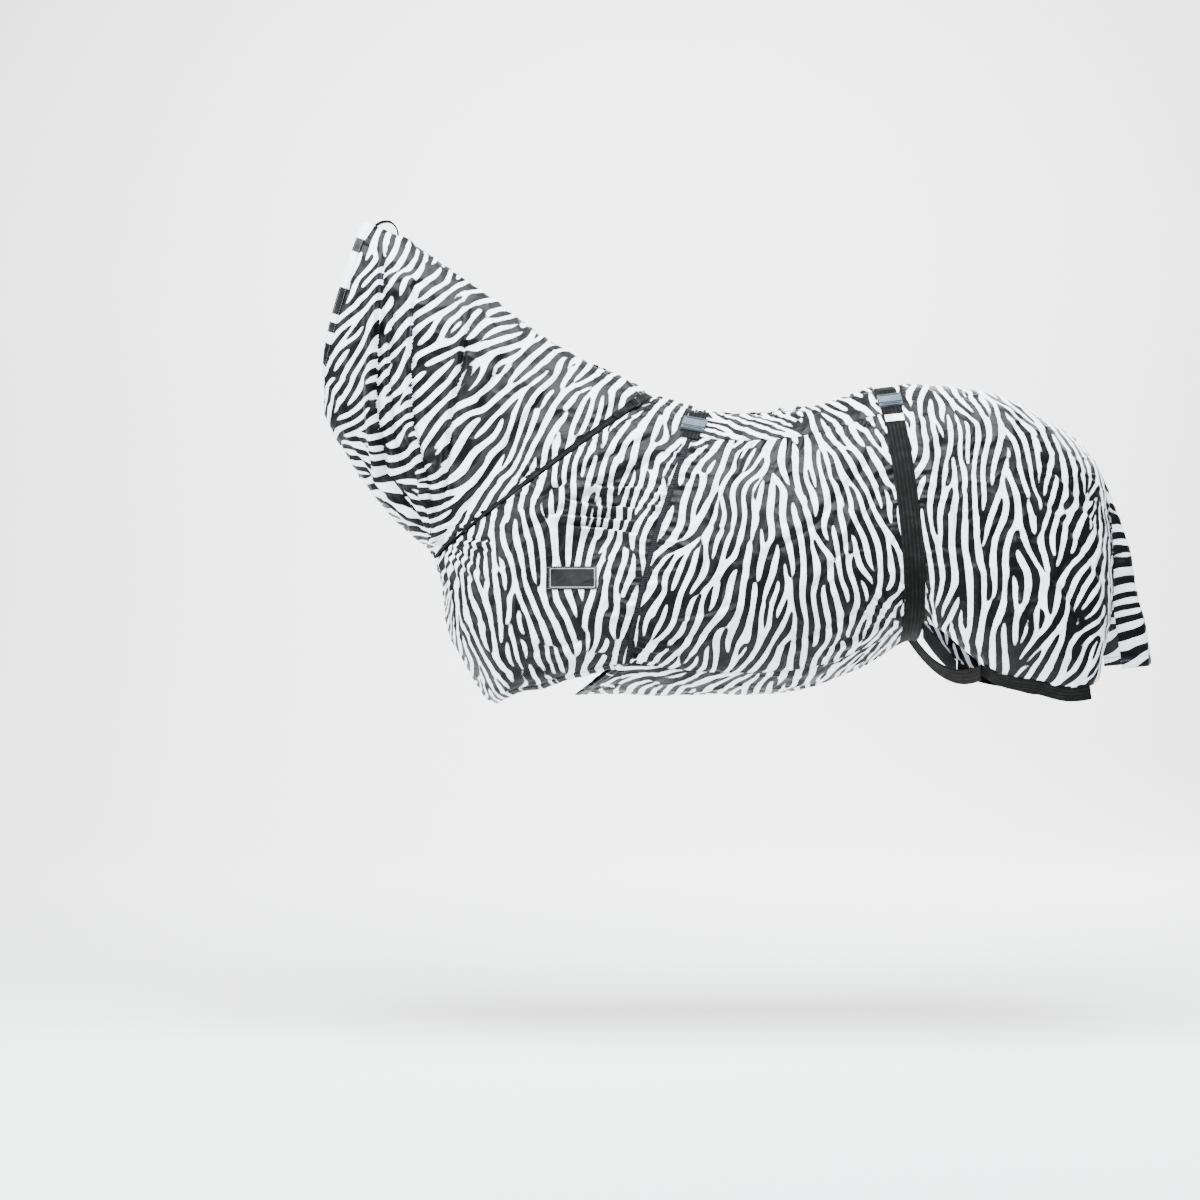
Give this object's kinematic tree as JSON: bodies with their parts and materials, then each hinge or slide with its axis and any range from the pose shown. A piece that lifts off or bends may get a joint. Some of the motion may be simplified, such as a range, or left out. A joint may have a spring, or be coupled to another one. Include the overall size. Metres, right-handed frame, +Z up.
{
  "type": "fly sheet",
  "caption": "Fly sheet for a horse, with a joined neck cover, belly panel, tail flap, open spine slit, side-release buckles and crossed leg straps.",
  "frame": {"origin": "the seat on the horse's withers, on the mid-plane, where the neck cover meets the body of the sheet", "axes": "+X from head to tail, +Y to the horse's right, +Z up"},
  "size_m": [2.2239, 0.638, 1.3002],
  "materials": {
    "zebra_cloth": "light semi-gloss polyester with a printed zebra pattern",
    "black_webbing": "ribbed black webbing",
    "ruched_elastic": "gathered elastic under the cloth",
    "grey_plastic": "moulded acetal",
    "label_cloth": "woven label, blank",
    "white_elastic": "soft elastic"
  },
  "bodies": {
    "sheet": {"neck_cover_left": "zebra_cloth", "shoulder_panel_left": "zebra_cloth", "saddle_panel_left": "zebra_cloth", "flank_panel_left": "zebra_cloth", "rump_panel_left": "zebra_cloth", "neck_strap_left": "black_webbing", "flank_webbing_left": "black_webbing", "hind_hem_band_left": "black_webbing", "leg_strap_left": "black_webbing", "girth_elastic_left": "ruched_elastic", "neck_strap_end_left": "black_webbing", "strap_keeper_left": "white_elastic", "buckle_plug_front_left": "grey_plastic", "plug_web_front_left": "black_webbing", "buckle_plug_rear_left": "grey_plastic", "plug_web_rear_left": "black_webbing", "neck_cover_right": "zebra_cloth", "shoulder_panel_right": "zebra_cloth", "saddle_panel_right": "zebra_cloth", "flank_panel_right": "zebra_cloth", "rump_panel_right": "zebra_cloth", "neck_strap_right": "black_webbing", "flank_webbing_right": "black_webbing", "hind_hem_band_right": "black_webbing", "leg_strap_right": "black_webbing", "girth_elastic_right": "ruched_elastic", "neck_strap_end_right": "black_webbing", "strap_keeper_right": "white_elastic", "buckle_plug_front_right": "grey_plastic", "plug_web_front_right": "black_webbing", "buckle_plug_rear_right": "grey_plastic", "plug_web_rear_right": "black_webbing", "belly_panel": "zebra_cloth", "belly_front_hem": "zebra_cloth", "front_hem": "zebra_cloth", "head_opening_hem": "zebra_cloth", "side_label": "label_cloth", "poll_loop_base": "black_webbing", "poll_loop": "black_webbing"},
    "housing_front_left": {"buckle_housing_front_left": "grey_plastic", "housing_web_front_left": "black_webbing"},
    "prong_front_front_left": {"buckle_prong_front_front_left": "grey_plastic"},
    "prong_rear_front_left": {"buckle_prong_rear_front_left": "grey_plastic"},
    "housing_front_right": {"buckle_housing_front_right": "grey_plastic", "housing_web_front_right": "black_webbing"},
    "prong_front_front_right": {"buckle_prong_front_front_right": "grey_plastic"},
    "prong_rear_front_right": {"buckle_prong_rear_front_right": "grey_plastic"},
    "housing_rear_left": {"buckle_housing_rear_left": "grey_plastic", "housing_web_rear_left": "black_webbing"},
    "prong_front_rear_left": {"buckle_prong_front_rear_left": "grey_plastic"},
    "prong_rear_rear_left": {"buckle_prong_rear_rear_left": "grey_plastic"},
    "housing_rear_right": {"buckle_housing_rear_right": "grey_plastic", "housing_web_rear_right": "black_webbing"},
    "prong_front_rear_right": {"buckle_prong_front_rear_right": "grey_plastic"},
    "prong_rear_rear_right": {"buckle_prong_rear_rear_right": "grey_plastic"},
    "slider_left": {"strap_slider_left": "grey_plastic"},
    "slider_right": {"strap_slider_right": "grey_plastic"},
    "tail_flap": {"tail_flap": "zebra_cloth", "tail_flap_hem": "zebra_cloth"}
  },
  "joints": [
    {"name": "housing_front_left_slide", "type": "slide", "parent": "sheet", "child": "housing_front_left", "axis": [0.2721, 0.7031, 0.6569], "range_m": [0, 0.035]},
    {"name": "prong_front_front_left_squeeze", "type": "hinge", "parent": "sheet", "child": "prong_front_front_left", "pos_m": [0.09312, -0.12885, -0.09146], "axis": [-0.0021, 0.6831, -0.7303], "range_deg": [0, 6], "stiffness_Nm_per_rad": 0.05},
    {"name": "prong_rear_front_left_squeeze", "type": "hinge", "parent": "sheet", "child": "prong_rear_front_left", "pos_m": [0.12969, -0.13635, -0.09858], "axis": [0.0021, -0.6831, 0.7303], "range_deg": [0, 6], "stiffness_Nm_per_rad": 0.05},
    {"name": "housing_front_right_slide", "type": "slide", "parent": "sheet", "child": "housing_front_right", "axis": [0.2721, -0.7031, 0.6569], "range_m": [0, 0.035]},
    {"name": "prong_front_front_right_squeeze", "type": "hinge", "parent": "sheet", "child": "prong_front_front_right", "pos_m": [0.09312, 0.12885, -0.09146], "axis": [0.0021, 0.6831, 0.7303], "range_deg": [0, 6], "stiffness_Nm_per_rad": 0.05},
    {"name": "prong_rear_front_right_squeeze", "type": "hinge", "parent": "sheet", "child": "prong_rear_front_right", "pos_m": [0.12969, 0.13635, -0.09858], "axis": [-0.0021, -0.6831, -0.7303], "range_deg": [0, 6], "stiffness_Nm_per_rad": 0.05},
    {"name": "housing_rear_left_slide", "type": "slide", "parent": "sheet", "child": "housing_rear_left", "axis": [-0.0935, 0.7592, 0.6441], "range_m": [0, 0.035]},
    {"name": "prong_front_rear_left_squeeze", "type": "hinge", "parent": "sheet", "child": "prong_front_rear_left", "pos_m": [0.61499, -0.14192, -0.03477], "axis": [0.0807, 0.6505, -0.7552], "range_deg": [0, 6], "stiffness_Nm_per_rad": 0.05},
    {"name": "prong_rear_rear_left_squeeze", "type": "hinge", "parent": "sheet", "child": "prong_rear_rear_left", "pos_m": [0.6527, -0.14121, -0.03013], "axis": [-0.0807, -0.6505, 0.7552], "range_deg": [0, 6], "stiffness_Nm_per_rad": 0.05},
    {"name": "housing_rear_right_slide", "type": "slide", "parent": "sheet", "child": "housing_rear_right", "axis": [-0.0935, -0.7592, 0.6441], "range_m": [0, 0.035]},
    {"name": "prong_front_rear_right_squeeze", "type": "hinge", "parent": "sheet", "child": "prong_front_rear_right", "pos_m": [0.61499, 0.14192, -0.03477], "axis": [-0.0807, 0.6505, 0.7552], "range_deg": [0, 6], "stiffness_Nm_per_rad": 0.05},
    {"name": "prong_rear_rear_right_squeeze", "type": "hinge", "parent": "sheet", "child": "prong_rear_rear_right", "pos_m": [0.6527, 0.14121, -0.03013], "axis": [0.0807, -0.6505, -0.7552], "range_deg": [0, 6], "stiffness_Nm_per_rad": 0.05},
    {"name": "slider_left_slide", "type": "slide", "parent": "sheet", "child": "slider_left", "axis": [0.6824, 0.5471, 0.4847], "range_m": [-0.055, 0]},
    {"name": "slider_right_slide", "type": "slide", "parent": "sheet", "child": "slider_right", "axis": [0.6824, -0.5471, 0.4847], "range_m": [-0.055, 0]},
    {"name": "tail_flap_lift", "type": "hinge", "parent": "sheet", "child": "tail_flap", "pos_m": [1.1882, 0, -0.1672], "axis": [0, -1, 0], "range_deg": [0, 95]}
  ],
  "couplings": [
    {"joint": "prong_rear_front_left_squeeze", "follows": "prong_front_front_left_squeeze", "ratio": 1},
    {"joint": "prong_rear_front_right_squeeze", "follows": "prong_front_front_right_squeeze", "ratio": 1},
    {"joint": "prong_rear_rear_left_squeeze", "follows": "prong_front_rear_left_squeeze", "ratio": 1},
    {"joint": "prong_rear_rear_right_squeeze", "follows": "prong_front_rear_right_squeeze", "ratio": 1}
  ]
}
